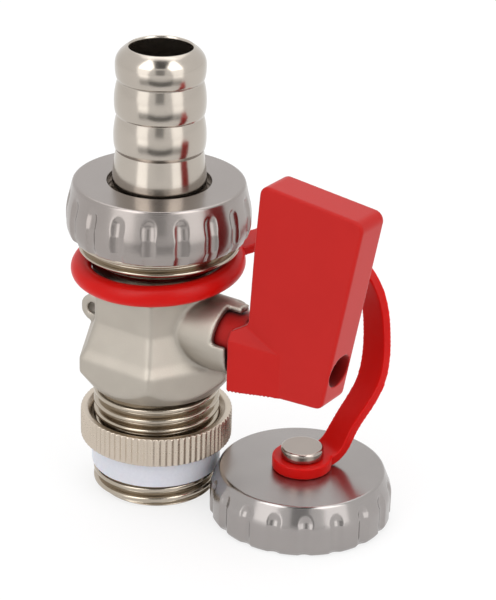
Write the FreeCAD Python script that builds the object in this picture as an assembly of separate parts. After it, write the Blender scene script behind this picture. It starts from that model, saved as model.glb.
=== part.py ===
import FreeCAD, Part
import math
import os

from FreeCAD import Rotation, Vector

# Drain cock for a boiler circuit: a half-inch ball valve with a hose tail, a lever and a tethered cap.
# Millimetres. The origin is the centre of the inlet end face, +Z runs up the flow axis and +X out along
# the stem. Heights stack up from the inlet, and places along the stem stack out from the ball.

# Clearances
RUNNING = 0.05         # turning fits: stem in its bore, ball in its seats
THREAD_PLAY = 0.15     # plain gap that stands for a thread's play
FREE_GAP = 0.3         # loose parts that pass each other
RING_GAP = 0.22        # room round the strap's ring on the neck, and round the resting cap
REST_GAP = 0.1         # flat faces that turn on each other
WRAP = 1.0             # how far a cutting shape runs past the face that it cuts

# Inlet thread, G 1/2
inlet_thread_r = 10.4775
inlet_thread_length = 19.3
inlet_chamfer = 0.35
inlet_bore_r = 7.5
inlet_bore_depth = 15.5
relief_height = 0.8    # shallow run-out under the sealing ring
relief_depth = 0.4

# Body: forged hexagon that flares in to an upper block, neck, outlet thread G 3/4
hex_height = 6.0
hex_foot_step = 0.6225  # hexagon's round foot beyond the thread
hex_flat_step = 0.95   # hexagon's flats beyond its round foot
hex_chamfer_height = 1.25
flare_flats = 22.3     # where the steep foot of the flare goes over into its long slope
flare_foot_height = 1.5
flare_height = 6.1
block_flats = 19.4
block_rise = 6.25      # top of the block above the stem's axis
block_shoulder_r = 10.6
block_shoulder_height = 0.4
forged_round = 1.2
neck_r = 10.5
outlet_thread_r = 13.22
outlet_thread_length = 6.35
outlet_chamfer = 0.5
hex_sides = 6

# Ball and seats
stem_rise = 5.7        # stem's axis and ball's centre above the hexagon
ball_r = 8.0
port_r = 4.9
port_margin = 0.1      # the body's and seats' passages are this much wider than the ball's
chamber_play = 0.3
seat_height = 3.6
retainer_height = 5.3
retainer_slot = 2.0
retainer_slot_depth = 1.6
slot_depth = 2.0
tang_width = 2.9
tang_length = 6.8

# Stem and boss
boss_wall = 1.1
flange_gap = 0.7       # from the ball to the stem's flange
flange_r = 4.8
flange_thick = 1.3
washer_thick = 0.7
packing_length = 3.2   # sealed length of the stem
stem_r = 4.0
o_ring_section = 0.78
o_ring_groove = 1.1
o_ring_count = 2
socket_depth = 3.3
notch_depth = 2.6
window_angles = (10.0, 82.5)      # open side of the boss rim, from the top towards -Y
stop_angles = (-136.0, -14.0)     # run of the lever's stop lug in the rim
stop_lug_width = 26.0
spigot_r = 3.0
spigot_flat = 2.1
spigot_reach = 3.4     # how far the spigot runs into the lever's hub

# Sealing lug opposite the stem
lug_reach = 12.7
lug_rise = 3.25        # lug's hole above the hexagon
lug_r = 2.4
lug_thick = 2.4
lug_hole_r = 1.0

# Lever: places are (out from its inner face, up from the stem's axis)
lever_half = 3.2
hub_half = 5.4
hub_length = 8.6
collar_r = 4.6
lever_heel = (0.0, -7.0)
lever_toe = (16.6, -6.05)
lever_tip_outer = (22.6, 27.0)
lever_tip_inner = (3.85, 28.9)
lever_back_mid = (3.0, 17.9)
lever_back_low = (2.3, 4.6)
lever_shoulder = (0.0, 3.4)
hub_ridge_rise = 5.4   # hub's sloped roof: its ridge at the inner face, and where it has faded out
hub_fade_rise = 1.0
hub_roof_drop = 3.3    # from the ridge down to the hub's sides
lever_corner = 1.6
lever_edge = 0.4
lever_swing = 90.0
lever_web = 2.5
access_r = 2.75
screw_r = 1.5
screw_depth = 6.5
screw_head_r = 2.4
screw_head_height = 1.5
screw_slot = 0.7
screw_slot_depth = 0.8

# Lock nut and sealing ring
lock_nut_wall = 2.0125
lock_nut_height = 5.0
lock_nut_chamfer = 0.5
lock_nut_sink = 1.0    # countersink at the top of its thread
lock_nut_drop = 5.3    # from the hexagon down to the lock nut
knurl_teeth = 76
knurl_depth = 0.32
seal_ring_wall = 0.3225
seal_ring_height = 4.8

# Union nut, gasket and hose tail
nut_wall = 1.58
nut_height = 9.0
nut_face_step = 1.13
nut_foot_step = 0.6
nut_top_slope = 4.6
nut_foot_slope = 1.6
nut_roof = 1.8
flute_count = 18
flute_r = 0.95
flute_depth = 0.62
gasket_thick = 1.8
gasket_step = 0.2      # the gasket is this much smaller than the collar
tail_collar_play = 0.77
tail_collar_thick = 1.9
tail_stem_r = 7.6
tail_stem_rise = 3.4   # plain stem above the nut, up to the long groove under the barbs
tail_stem_play = 0.8
tail_groove = 2.0
barb_r = 7.4
barb_depth = 0.65
barb_count = 3
barb_pitch = 5.8
barb_land = 0.9
barb_shoulder = 1.0
barb_round = 0.5
tail_mouth_step = 0.5
tail_mouth_rise = 3.4
tail_mouth_round = 1.5

# Strap: ring, band and eye in one moulding. The band's points are (x, y, up from the ring)
ring_play = 0.28
ring_tube_r = 1.72
ring_tilt = 3.5
ring_tilt_azimuth = 58.0
band_width = 5.2
band_thick = 1.6
band_path = (
    (6.8, 10.9, 0.7),
    (8.8, 14.2, 1.3),
    (15.2, 21.4, 2.4),
    (22.7, 23.7, -1.55),
    (27.0, 23.2, -6.75),
    (29.0, 21.9, -12.95),
    (30.3, 18.1, -19.95),
    (29.0, 12.6, -26.3),
)
band_turns = (-32.0, -36.0, -38.0, -28.0, -20.0, -18.0, -20.0, -24.0)   # azimuth of the band's width
band_sections = 24
eye_r = 4.9
eye_thick = 1.9
eye_reach = 3.4        # where the band ends, level, from the eye's centre
eye_lift = 0.13        # the band's end above the middle of the eye

# Blanking cap, lying beside the foot
cap_azimuth = 12.3
cap_wall = 1.6
cap_height = 8.4
cap_face_step = 1.4
cap_top_slope = 3.4
cap_foot_slope = 0.7
cap_foot_step = 0.5
cap_flute_turn = 6.0   # how the cap happens to lie
cap_roof = 2.2
cap_gasket_thick = 1.3
cap_gasket_width = 4.4
rivet_r = 1.9
rivet_head_r = 3.5
rivet_head_height = 1.7
rivet_round = 0.5
rivet_foot_r = 3.2
rivet_foot_height = 0.9

FLOW = Vector(0, 0, 1)
STEM = Vector(1, 0, 0)
ACROSS = Vector(0, 1, 0)
FULL_TURN = 360.0
QUARTER_TURN = FULL_TURN / 4

# Radii, from what runs in what
chamber_r = ball_r + chamber_play
passage_r = port_r + port_margin
seat_r = chamber_r - RUNNING
stem_bore_r = stem_r + RUNNING
counterbore_r = flange_r + 2 * RUNNING
socket_r = collar_r + FREE_GAP
boss_r = socket_r + boss_wall
groove_r = stem_bore_r - o_ring_section - RUNNING
hex_foot_r = inlet_thread_r + hex_foot_step
hex_flats = 2 * (hex_foot_r + hex_flat_step)
lock_bore_r = inlet_thread_r + THREAD_PLAY
lock_nut_r = lock_bore_r + lock_nut_wall
seal_ring_r = lock_bore_r + seal_ring_wall
nut_bore_r = outlet_thread_r + THREAD_PLAY
nut_r = nut_bore_r + nut_wall
nut_face_r = nut_r - nut_face_step
nut_foot_r = nut_r - nut_foot_step
nut_hole_r = tail_stem_r + tail_stem_play
tail_collar_r = nut_bore_r - tail_collar_play
gasket_r = tail_collar_r - gasket_step
barb_valley_r = barb_r - barb_depth
tail_mouth_r = barb_r - tail_mouth_step
ring_r = neck_r + ring_play + ring_tube_r
cap_r = nut_bore_r + cap_wall
cap_face_r = cap_r - cap_face_step
cap_foot_r = cap_r - cap_foot_step
cap_gasket_bore_r = gasket_r - cap_gasket_width
eye_hole_r = rivet_r + FREE_GAP

# Heights up the flow axis
hex_bottom = inlet_thread_length
hex_top = hex_bottom + hex_height
flare_top = hex_top + flare_height
stem_height = hex_top + stem_rise
chamber_floor = stem_height - ball_r - port_margin
retainer_bottom = 2 * stem_height - chamber_floor
block_top = stem_height + block_rise
ring_sway = ring_tube_r + ring_r * math.sin(math.radians(ring_tilt)) + RING_GAP
ring_height = block_top + ring_sway
neck_top = ring_height + ring_sway
outlet_top = neck_top + outlet_thread_length
gasket_top = outlet_top + gasket_thick
nut_seat = gasket_top + tail_collar_thick
nut_top = nut_seat + nut_roof
nut_bottom = nut_top - nut_height
tail_stem_top = nut_top + tail_stem_rise
first_land = tail_stem_top + tail_groove + barb_shoulder
barb_lands = [first_land + k * barb_pitch for k in range(barb_count)]
tail_top = barb_lands[-1] + barb_land + tail_mouth_rise
lock_nut_top = hex_bottom - lock_nut_drop
lock_nut_bottom = lock_nut_top - lock_nut_height
seal_ring_bottom = lock_nut_bottom - seal_ring_height
relief_bottom = seal_ring_bottom - RING_GAP
cap_ceiling = cap_height - cap_roof
eye_bottom = cap_height + REST_GAP
eye_top = eye_bottom + eye_thick
rivet_seat = eye_top + REST_GAP

# Places out along the stem
slot_floor = ball_r - slot_depth
flange_start = ball_r + flange_gap
flange_end = flange_start + flange_thick
washer_end = flange_end + washer_thick
socket_floor = washer_end + packing_length
boss_end = socket_floor + socket_depth
notch_floor = boss_end - notch_depth
lever_start = boss_end + FREE_GAP
spigot_end = lever_start + spigot_reach
web_end = spigot_end + lever_web
hub_end = lever_start + hub_length
o_ring_step = packing_length / o_ring_count
o_ring_seats = [washer_end + o_ring_step / 2 + k * o_ring_step for k in range(o_ring_count)]

BALL_CENTRE = Vector(0, 0, stem_height)
cap_distance = seal_ring_r + cap_r + RING_GAP
cap_centre = Rotation(FLOW, cap_azimuth).multVec(STEM * cap_distance)


def turned(profile):
    """Solid of revolution about the flow axis from (radius, height) points."""
    points = [Vector(r, 0, z) for r, z in profile]
    face = Part.Face(Part.makePolygon(points + points[:1]))
    return face.revolve(Vector(), FLOW, FULL_TURN)


def stem_turned(profile, start=0.0, sweep=FULL_TURN):
    """Solid of revolution about the stem's axis from (x, radius) points, from start degrees off the top."""
    points = [Vector(x, 0, stem_height + r) for x, r in profile]
    face = Part.Face(Part.makePolygon(points + points[:1]))
    face.rotate(BALL_CENTRE, STEM, start)
    return face.revolve(BALL_CENTRE, STEM, sweep)


def tube(outer_r, inner_r, bottom, height):
    """Plain ring on the flow axis."""
    top = bottom + height
    return turned([(inner_r, bottom), (outer_r, bottom), (outer_r, top), (inner_r, top)])


def rod(radius, start, end):
    """Round bar on the stem's axis."""
    return Part.makeCylinder(radius, end - start, Vector(start, 0, stem_height), STEM)


def block(x_span, y_span, z_span):
    """Box from three (low, high) spans."""
    spans = (x_span, y_span, z_span)
    sizes = [high - low for low, high in spans]
    return Part.makeBox(*sizes, Vector(*[low for low, high in spans]))


def polar(radius, angle, height):
    """Point at a radius and an angle in radians round the flow axis."""
    return Vector(radius * math.cos(angle), radius * math.sin(angle), height)


def hexagon(flats, height):
    """Hexagon wire across flats with rounded corners, one corner on the stem's side."""
    half_side = math.pi / hex_sides
    centre_r = (flats / 2 - forged_round) / math.cos(half_side)
    ends = []
    for k in range(hex_sides):
        a = 2 * half_side * k
        centre = polar(centre_r, a, height)
        ends.append([centre + polar(forged_round, a + turn, 0) for turn in (-half_side, 0, half_side)])
    edges = []
    for corner, following in zip(ends, ends[1:] + ends[:1]):
        edges.append(Part.Arc(*corner).toShape())
        edges.append(Part.LineSegment(corner[-1], following[0]).toShape())
    return Part.Wire(edges)


def hex_prism(flats, bottom, top):
    """Hexagonal bar between two heights."""
    return Part.Face(hexagon(flats, bottom)).extrude(FLOW * (top - bottom))


def fluted(solid, outer_r, bottom, top, turn=0.0):
    """Solid with the round-bottomed grip flutes cut up its side, the first at turn degrees."""
    centre_r = outer_r + flute_r - flute_depth
    cutters = []
    for k in range(flute_count):
        foot = polar(centre_r, math.radians(turn + FULL_TURN * k / flute_count), bottom - WRAP)
        cutters.append(Part.makeCylinder(flute_r, top - bottom + 2 * WRAP, foot))
    return solid.cut(cutters)


def outline(points, half_width):
    """Plate from (x, z) points, centred on the stem's plane."""
    corners = [Vector(x, -half_width, z) for x, z in points]
    face = Part.Face(Part.makePolygon(corners + corners[:1]))
    return face.extrude(ACROSS * (2 * half_width))


def round_edges(solid, low, high):
    """The solid's circular edges between two heights."""
    return [e for e in solid.Edges if isinstance(e.Curve, Part.Circle) and low < e.CenterOfMass.z < high]


def along_y(edge):
    """True for a straight edge that runs across a plate."""
    ends = [vertex.Point for vertex in edge.Vertexes]
    return len(ends) == 2 and abs((ends[1] - ends[0]).normalize().y) > 1 - RUNNING


def on_side(edge, half_width):
    """True for an edge that lies in one of a plate's two large faces."""
    return all(abs(abs(vertex.Point.y) - half_width) < RUNNING for vertex in edge.Vertexes)


def double_d(radius, flat, start, end):
    """Round bar on the stem's axis with two flats."""
    flats = block((start, end), (-flat, flat), (stem_height - radius, stem_height + radius))
    return rod(radius, start, end).common(flats)


def valve_body():
    """Forged body: thread, hexagon, flared block, stem boss and lug, then the bores."""
    relief_top = relief_bottom + relief_height
    relief_r = inlet_thread_r - relief_depth
    shank = turned([
        (0, 0), (inlet_thread_r - inlet_chamfer, 0), (inlet_thread_r, inlet_chamfer),
        (inlet_thread_r, relief_bottom), (relief_r, relief_bottom), (relief_r, relief_top),
        (inlet_thread_r, relief_top), (inlet_thread_r, hex_bottom), (0, hex_bottom)])
    slope = hex_chamfer_height / (hex_flats / 2 - hex_foot_r)
    block_corner_r = block_flats / 2 / math.cos(math.pi / hex_sides)
    envelope_top = hex_bottom + slope * (hex_flats - hex_foot_r)
    envelope = turned([
        (0, hex_bottom), (hex_foot_r, hex_bottom), (hex_flats, envelope_top), (0, envelope_top)])
    hexagon_bar = hex_prism(hex_flats, hex_bottom, hex_top).common(envelope)
    flare_foot_top = hex_top + flare_foot_height
    flare_steps = ((hex_flats, hex_top), (flare_flats, flare_foot_top), (block_flats, flare_top))
    flare = Part.makeLoft([hexagon(flats, height) for flats, height in flare_steps], True, True)
    shoulder_low = block_top - block_shoulder_height
    shoulder = turned([
        (0, flare_top), (block_flats, flare_top), (block_flats, shoulder_low),
        (block_corner_r, shoulder_low), (block_shoulder_r, block_top), (0, block_top)])
    upper = hex_prism(block_flats, flare_top, block_top).common(shoulder)
    outlet = turned([
        (0, block_top), (neck_r, block_top), (neck_r, neck_top), (outlet_thread_r, neck_top),
        (outlet_thread_r, outlet_top - outlet_chamfer), (outlet_thread_r - outlet_chamfer, outlet_top),
        (0, outlet_top)])
    lug_height = hex_top + lug_rise
    half_lug = lug_thick / 2
    lug_side = Vector(-lug_reach, -half_lug, lug_height)
    lug = Part.makeCylinder(lug_r, lug_thick, lug_side, ACROSS)
    lug_root = block((-lug_reach, -neck_r), (-half_lug, half_lug), (lug_height - lug_r, lug_height + lug_r))
    boss = rod(boss_r, 0, boss_end)
    solid = hexagon_bar.fuse([flare, upper, boss, shank, outlet, lug, lug_root]).removeSplitter()
    flow_way = turned([
        (0, -WRAP), (inlet_bore_r, -WRAP), (inlet_bore_r, inlet_bore_depth),
        (passage_r, inlet_bore_depth + inlet_bore_r - passage_r), (passage_r, chamber_floor),
        (chamber_r, chamber_floor), (chamber_r, outlet_top + WRAP), (0, outlet_top + WRAP)])
    stem_way = stem_turned([
        (0, 0), (0, counterbore_r), (washer_end, counterbore_r), (washer_end, stem_bore_r),
        (socket_floor, stem_bore_r), (socket_floor, socket_r), (boss_end + WRAP, socket_r),
        (boss_end + WRAP, 0)])
    rim = [(notch_floor, stem_bore_r), (notch_floor, boss_r + WRAP),
           (boss_end + WRAP, boss_r + WRAP), (boss_end + WRAP, stem_bore_r)]
    notches = [stem_turned(rim, first, last - first) for first, last in (window_angles, stop_angles)]
    lug_hole = Part.makeCylinder(lug_hole_r, lug_thick + 2 * WRAP, lug_side - ACROSS * WRAP, ACROSS)
    return solid.cut([flow_way, stem_way, lug_hole] + notches)


def seat(bottom):
    """PTFE ring hollowed to the ball's curve."""
    ring = tube(seat_r, passage_r, bottom, seat_height)
    return ring.cut(Part.makeSphere(ball_r + RUNNING, BALL_CENTRE))


def seat_retainer():
    """Ring screwed down on the upper seat, with two slots for its key."""
    ring = tube(seat_r, passage_r, retainer_bottom, retainer_height)
    top = retainer_bottom + retainer_height
    key = block((-chamber_r, chamber_r), (-retainer_slot / 2, retainer_slot / 2),
                (top - retainer_slot_depth, top + WRAP))
    return ring.cut(key)


def ball():
    """Ball with its port and the slot for the stem's tang, square to the port."""
    sphere = Part.makeSphere(ball_r, BALL_CENTRE)
    port = Part.makeCylinder(port_r, 2 * ball_r + 2 * WRAP, Vector(0, 0, stem_height - ball_r - WRAP))
    half_slot = tang_width / 2 + RUNNING
    slot = block((slot_floor, ball_r + WRAP), (-ball_r, ball_r),
                 (stem_height - half_slot, stem_height + half_slot))
    return sphere.cut([port, slot])


def stem():
    """Spindle put in from inside: tang, flange, two seal grooves, flatted spigot, tapped end."""
    half_groove = o_ring_groove / 2
    profile = [(flange_start, 0), (flange_start, flange_r), (flange_end, flange_r), (flange_end, stem_r)]
    for centre in o_ring_seats:
        profile += [(centre - half_groove, stem_r), (centre - half_groove, groove_r),
                    (centre + half_groove, groove_r), (centre + half_groove, stem_r)]
    profile += [(socket_floor, stem_r), (socket_floor, 0)]
    tang = block((slot_floor + RUNNING, flange_start), (-tang_length / 2, tang_length / 2),
                 (stem_height - tang_width / 2, stem_height + tang_width / 2))
    spigot = double_d(spigot_r, spigot_flat, socket_floor, spigot_end)
    tapped = rod(screw_r, spigot_end - screw_depth - FREE_GAP, spigot_end + WRAP)
    return stem_turned(profile).fuse([tang, spigot]).cut(tapped)


def stem_thrust_washer():
    """PTFE washer between the stem's flange and the body."""
    inner_r = stem_bore_r
    return stem_turned([
        (flange_end, inner_r), (flange_end, flange_r), (washer_end, flange_r), (washer_end, inner_r)])


def stem_o_ring(centre):
    """Rubber ring in one of the stem's grooves."""
    tube_r = o_ring_section / 2
    return Part.makeTorus(groove_r + tube_r, tube_r, Vector(centre, 0, stem_height), STEM)


def lever_place(place):
    """Lever point (out from its inner face, up from the stem's axis) as (x, z)."""
    out, up = place
    return lever_start + out, stem_height + up


def lever_handle():
    """Moulded lever: flat paddle, hub that fades into it, collar with its stop lug, access hole."""
    corners = (lever_heel, lever_toe, lever_tip_outer, lever_tip_inner, lever_back_mid, lever_back_low)
    places = [lever_place(corner) for corner in corners + (lever_shoulder,)]
    heel, toe, tip_outer, back_low, shoulder = places[0], places[1], places[2], places[-2], places[-1]
    paddle = outline(places, lever_half)
    free_side = lever_start + RUNNING
    turns = [e for e in paddle.Edges if along_y(e) and e.CenterOfMass.x > free_side]
    paddle = paddle.makeFillet(lever_corner, turns)
    rims = [e for e in paddle.Edges if on_side(e, lever_half) and e.CenterOfMass.x > free_side]
    paddle = paddle.makeFillet(lever_edge, rims)
    fade_z = heel[1] + (toe[1] - heel[1]) * hub_length / (toe[0] - heel[0])
    hub = outline([heel, (hub_end, fade_z), (hub_end, back_low[1]), back_low, shoulder], hub_half)
    plan = [(lever_start, -hub_half), (hub_end, -lever_half), (hub_end, lever_half), (lever_start, hub_half)]
    plan_points = [Vector(x, y, heel[1] - WRAP) for x, y in plan]
    plan_face = Part.Face(Part.makePolygon(plan_points + plan_points[:1]))
    ridge = stem_height + hub_ridge_rise
    fall = hub_fade_rise - hub_ridge_rise
    eaves = ridge - hub_roof_drop
    roof = [(-hub_half, heel[1] - fall), (-hub_half, eaves), (-lever_half, ridge), (lever_half, ridge),
            (hub_half, eaves), (hub_half, heel[1] - fall)]
    roof_points = [Vector(lever_start, y, z) for y, z in roof]
    roof_face = Part.Face(Part.makePolygon(roof_points + roof_points[:1]))
    hub = hub.common(plan_face.extrude(FLOW * (ridge - heel[1] + WRAP)))
    hub = hub.common(roof_face.extrude(STEM * hub_length + FLOW * fall))
    lug_outer_r = boss_r - FREE_GAP
    lug_bottom = notch_floor + FREE_GAP
    spare = stop_angles[1] - stop_angles[0] - stop_lug_width - lever_swing
    lug = stem_turned([(lug_bottom, spigot_r), (lug_bottom, lug_outer_r), (lever_start, lug_outer_r),
                       (lever_start, spigot_r)], stop_angles[0] + spare / 2, stop_lug_width)
    collar = rod(collar_r, socket_floor + REST_GAP, lever_start + WRAP)
    solid = paddle.fuse([hub, collar, lug]).removeSplitter()
    pocket = double_d(spigot_r + RUNNING, spigot_flat + RUNNING, socket_floor, spigot_end)
    screw_way = rod(screw_r + FREE_GAP, spigot_end - WRAP, web_end + WRAP)
    access = rod(access_r, web_end, tip_outer[0])
    return solid.cut([pocket, screw_way, access])


def handle_screw():
    """Slotted pan-head screw through the lever's web into the stem."""
    head_end = web_end + screw_head_height
    shank = rod(screw_r - RUNNING, spigot_end - screw_depth, web_end)
    head = rod(screw_head_r, web_end, head_end)
    half_slot = screw_slot / 2
    slot = block((head_end - screw_slot_depth, head_end + WRAP), (-screw_head_r, screw_head_r),
                 (stem_height - half_slot, stem_height + half_slot))
    return shank.fuse(head).cut(slot)


def lock_nut():
    """Ring nut with a straight knurl: a toothed bar trimmed by the chamfered ring."""
    step = math.pi / knurl_teeth
    radii = (lock_nut_r, lock_nut_r - knurl_depth)
    points = [polar(radii[k % 2], k * step, lock_nut_bottom) for k in range(2 * knurl_teeth)]
    toothed = Part.Face(Part.makePolygon(points + points[:1])).extrude(FLOW * lock_nut_height)
    inset_r = lock_nut_r - lock_nut_chamfer
    ring = turned([
        (lock_bore_r, lock_nut_bottom), (inset_r, lock_nut_bottom),
        (lock_nut_r, lock_nut_bottom + lock_nut_chamfer), (lock_nut_r, lock_nut_top - lock_nut_chamfer),
        (inset_r, lock_nut_top), (lock_bore_r + lock_nut_sink, lock_nut_top),
        (lock_bore_r, lock_nut_top - lock_nut_sink)])
    return toothed.common(ring)


def thread_seal_ring():
    """PTFE ring that the lock nut pushes against the boiler's socket."""
    return tube(seal_ring_r, lock_bore_r, seal_ring_bottom, seal_ring_height)


def union_nut():
    """Fluted nut with a roof that pulls the hose tail's collar down."""
    body = turned([
        (nut_bore_r, nut_bottom), (nut_foot_r, nut_bottom), (nut_r, nut_bottom + nut_foot_slope),
        (nut_r, nut_top - nut_top_slope), (nut_face_r, nut_top), (nut_hole_r, nut_top),
        (nut_hole_r, nut_seat), (nut_bore_r, nut_seat)])
    return fluted(body, nut_r, nut_bottom, nut_top)


def hose_tail_gasket():
    """Flat rubber ring between the outlet's end and the tail's collar."""
    return tube(gasket_r, passage_r, outlet_top, gasket_thick)


def hose_tail():
    """Turned tail: collar, plain stem and barbs that rise slowly and end in a short shoulder."""
    profile = [(passage_r, gasket_top), (tail_collar_r, gasket_top), (tail_collar_r, nut_seat),
               (tail_stem_r, nut_seat), (tail_stem_r, tail_stem_top)]
    for land in barb_lands:
        profile += [(barb_valley_r, land - barb_shoulder), (barb_r, land), (barb_r, land + barb_land)]
    profile += [(tail_mouth_r, tail_top), (passage_r, tail_top)]
    solid = turned(profile)
    mouth_low = tail_top - RUNNING
    ridges = round_edges(solid, tail_stem_top - RUNNING, mouth_low)
    solid = solid.makeFillet(barb_round, ridges)
    mouth = max(round_edges(solid, mouth_low, tail_top + RUNNING), key=lambda e: e.Curve.Radius)
    return solid.makeFillet(tail_mouth_round, [mouth])


def band_section(centre, side, along):
    """Rectangle across the strap's band, from a point of its path and the point at its edge."""
    across = side - centre
    across = (across - along * across.dot(along)).normalize() * (band_width / 2)
    rise = along.cross(across).normalize() * (band_thick / 2)
    points = [centre + across + rise, centre - across + rise, centre - across - rise, centre + across - rise]
    return Part.makePolygon(points + points[:1])


def strap_band(eye_centre):
    """Band of the strap: a flat section carried along its path, level where it meets the eye."""
    outward = Rotation(FLOW, band_turns[-1] + QUARTER_TURN).multVec(STEM)
    band_end = eye_centre + outward * eye_reach + FLOW * eye_lift
    path = [Vector(x, y, ring_height + up) for x, y, up in band_path] + [band_end]
    turns = list(band_turns) + [band_turns[-1]]
    edge = [p + Rotation(FLOW, a).multVec(STEM) * (band_width / 2) for p, a in zip(path, turns)]
    steps = [0.0]
    for start, end in zip(path, path[1:]):
        steps.append(steps[-1] + start.distanceToPoint(end))
    leaving = (path[1] - path[0]).normalize()
    middle_curve = Part.BSplineCurve()
    middle_curve.interpolate(Points=path, Parameters=steps, InitialTangent=leaving, FinalTangent=-outward)
    edge_curve = Part.BSplineCurve()
    edge_curve.interpolate(Points=edge, Parameters=steps, InitialTangent=leaving, FinalTangent=-outward)
    sections = []
    for k in range(band_sections + 1):
        u = steps[-1] * k / band_sections
        sections.append(band_section(middle_curve.value(u), edge_curve.value(u), middle_curve.tangent(u)[0]))
    return Part.makeLoft(sections, True, False)


def cap_strap():
    """Strap moulded in one piece: ring round the neck, band, and the eye under the rivet."""
    ring = Part.makeTorus(ring_r, ring_tube_r)
    tilt_axis = Rotation(FLOW, ring_tilt_azimuth - QUARTER_TURN).multVec(STEM)
    ring.rotate(Vector(), tilt_axis, ring_tilt)
    ring.translate(FLOW * ring_height)
    eye_foot = cap_centre + FLOW * eye_bottom
    band = strap_band(eye_foot + FLOW * (eye_thick / 2))
    eye = Part.makeCylinder(eye_r, eye_thick, eye_foot)
    hole = Part.makeCylinder(eye_hole_r, eye_thick + 2 * WRAP, eye_foot - FLOW * WRAP)
    return ring.fuse([band, eye]).cut(hole)


def at_cap(solid):
    """Solid moved from the flow axis to where the cap lies."""
    solid.translate(cap_centre)
    return solid


def blanking_cap():
    """Fluted cap, mouth down, with a hole in its roof for the rivet."""
    hole_r = rivet_r + RUNNING
    body = turned([
        (nut_bore_r, 0), (cap_foot_r, 0), (cap_r, cap_foot_slope), (cap_r, cap_height - cap_top_slope),
        (cap_face_r, cap_height), (hole_r, cap_height), (hole_r, cap_ceiling), (nut_bore_r, cap_ceiling)])
    return at_cap(fluted(body, cap_r, 0, cap_height, cap_flute_turn))


def cap_rivet():
    """Rivet with a low round-edged head above the eye and its foot spread inside the cap."""
    top = rivet_seat + rivet_head_height
    foot = cap_ceiling - rivet_foot_height
    shank = turned([
        (0, foot), (rivet_foot_r, foot), (rivet_foot_r, cap_ceiling), (rivet_r, cap_ceiling),
        (rivet_r, rivet_seat), (rivet_head_r, rivet_seat), (rivet_head_r, top), (0, top)])
    return at_cap(shank.makeFillet(rivet_round, round_edges(shank, top - RUNNING, top + RUNNING)))


def cap_gasket():
    """Flat rubber ring under the cap's roof."""
    return at_cap(tube(gasket_r, cap_gasket_bore_r, cap_ceiling - cap_gasket_thick, cap_gasket_thick))


pieces = {
    "valve_body": valve_body(),
    "inlet_seat": seat(chamber_floor),
    "outlet_seat": seat(retainer_bottom - seat_height),
    "seat_retainer": seat_retainer(),
    "ball": ball(),
    "stem": stem(),
    "stem_thrust_washer": stem_thrust_washer(),
    "stem_o_ring_inner": stem_o_ring(o_ring_seats[0]),
    "stem_o_ring_outer": stem_o_ring(o_ring_seats[-1]),
    "lever_handle": lever_handle(),
    "handle_screw": handle_screw(),
    "lock_nut": lock_nut(),
    "thread_seal_ring": thread_seal_ring(),
    "union_nut": union_nut(),
    "hose_tail_gasket": hose_tail_gasket(),
    "hose_tail": hose_tail(),
    "cap_strap": cap_strap(),
    "blanking_cap": blanking_cap(),
    "cap_rivet": cap_rivet(),
    "cap_gasket": cap_gasket(),
}

os.makedirs("parts", exist_ok=True)
for name, shape in pieces.items():
    shape.exportStep("parts/" + name + ".step")
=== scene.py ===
import math

import bmesh
import bpy
import numpy as np
from mathutils import Matrix, Vector


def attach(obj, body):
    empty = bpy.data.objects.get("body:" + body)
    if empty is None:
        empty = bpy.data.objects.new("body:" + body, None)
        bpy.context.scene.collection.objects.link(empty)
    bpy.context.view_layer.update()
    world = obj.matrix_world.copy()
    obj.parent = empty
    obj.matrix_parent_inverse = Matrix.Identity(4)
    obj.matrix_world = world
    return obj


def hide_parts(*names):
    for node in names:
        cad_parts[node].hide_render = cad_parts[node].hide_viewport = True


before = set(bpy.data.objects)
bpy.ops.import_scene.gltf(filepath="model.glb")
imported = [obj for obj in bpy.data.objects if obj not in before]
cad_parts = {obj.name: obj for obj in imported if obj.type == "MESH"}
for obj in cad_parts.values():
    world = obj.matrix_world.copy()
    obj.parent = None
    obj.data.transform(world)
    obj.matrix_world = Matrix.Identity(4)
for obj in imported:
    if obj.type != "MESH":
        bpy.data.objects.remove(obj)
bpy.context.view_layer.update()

# Valve body
# Hot-forged brass, shot-blasted and nickel plated: a hexagon for the spanner that flares in to an upper
# block, with the stem boss on one side and a sealing lug on the other. Both ends are turned and threaded.
MM = 0.001  # a millimetre in metres; sizes of pieces are in millimetres
merge_gap = 0.001
body_cell = 0.27
body_easing = 7
body_triangles = 150000
inlet_root_r = 9.316
inlet_crest_r = 10.4775
inlet_thread_span = (0.0, 19.3)
outlet_root_r = 12.06
outlet_crest_r = 13.22
outlet_thread_span = (42.66, 49.0)
thread_pitch = 1.814
thread_flank = 1.5
thread_crest = 0.3
thread_runout = 0.8
inlet_wall_r = 8.87
neck_wall_r = 10.3
neck_r = 10.72
neck_span = (38.9, 41.6)
core_inset = 0.15


def shown(name, mesh, body):
    """Object for a finished mesh, smooth shaded and riding on its body."""
    mesh.shade_smooth()
    piece = bpy.data.objects.new(name, mesh)
    bpy.context.collection.objects.link(piece)
    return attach(piece, body)


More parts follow.
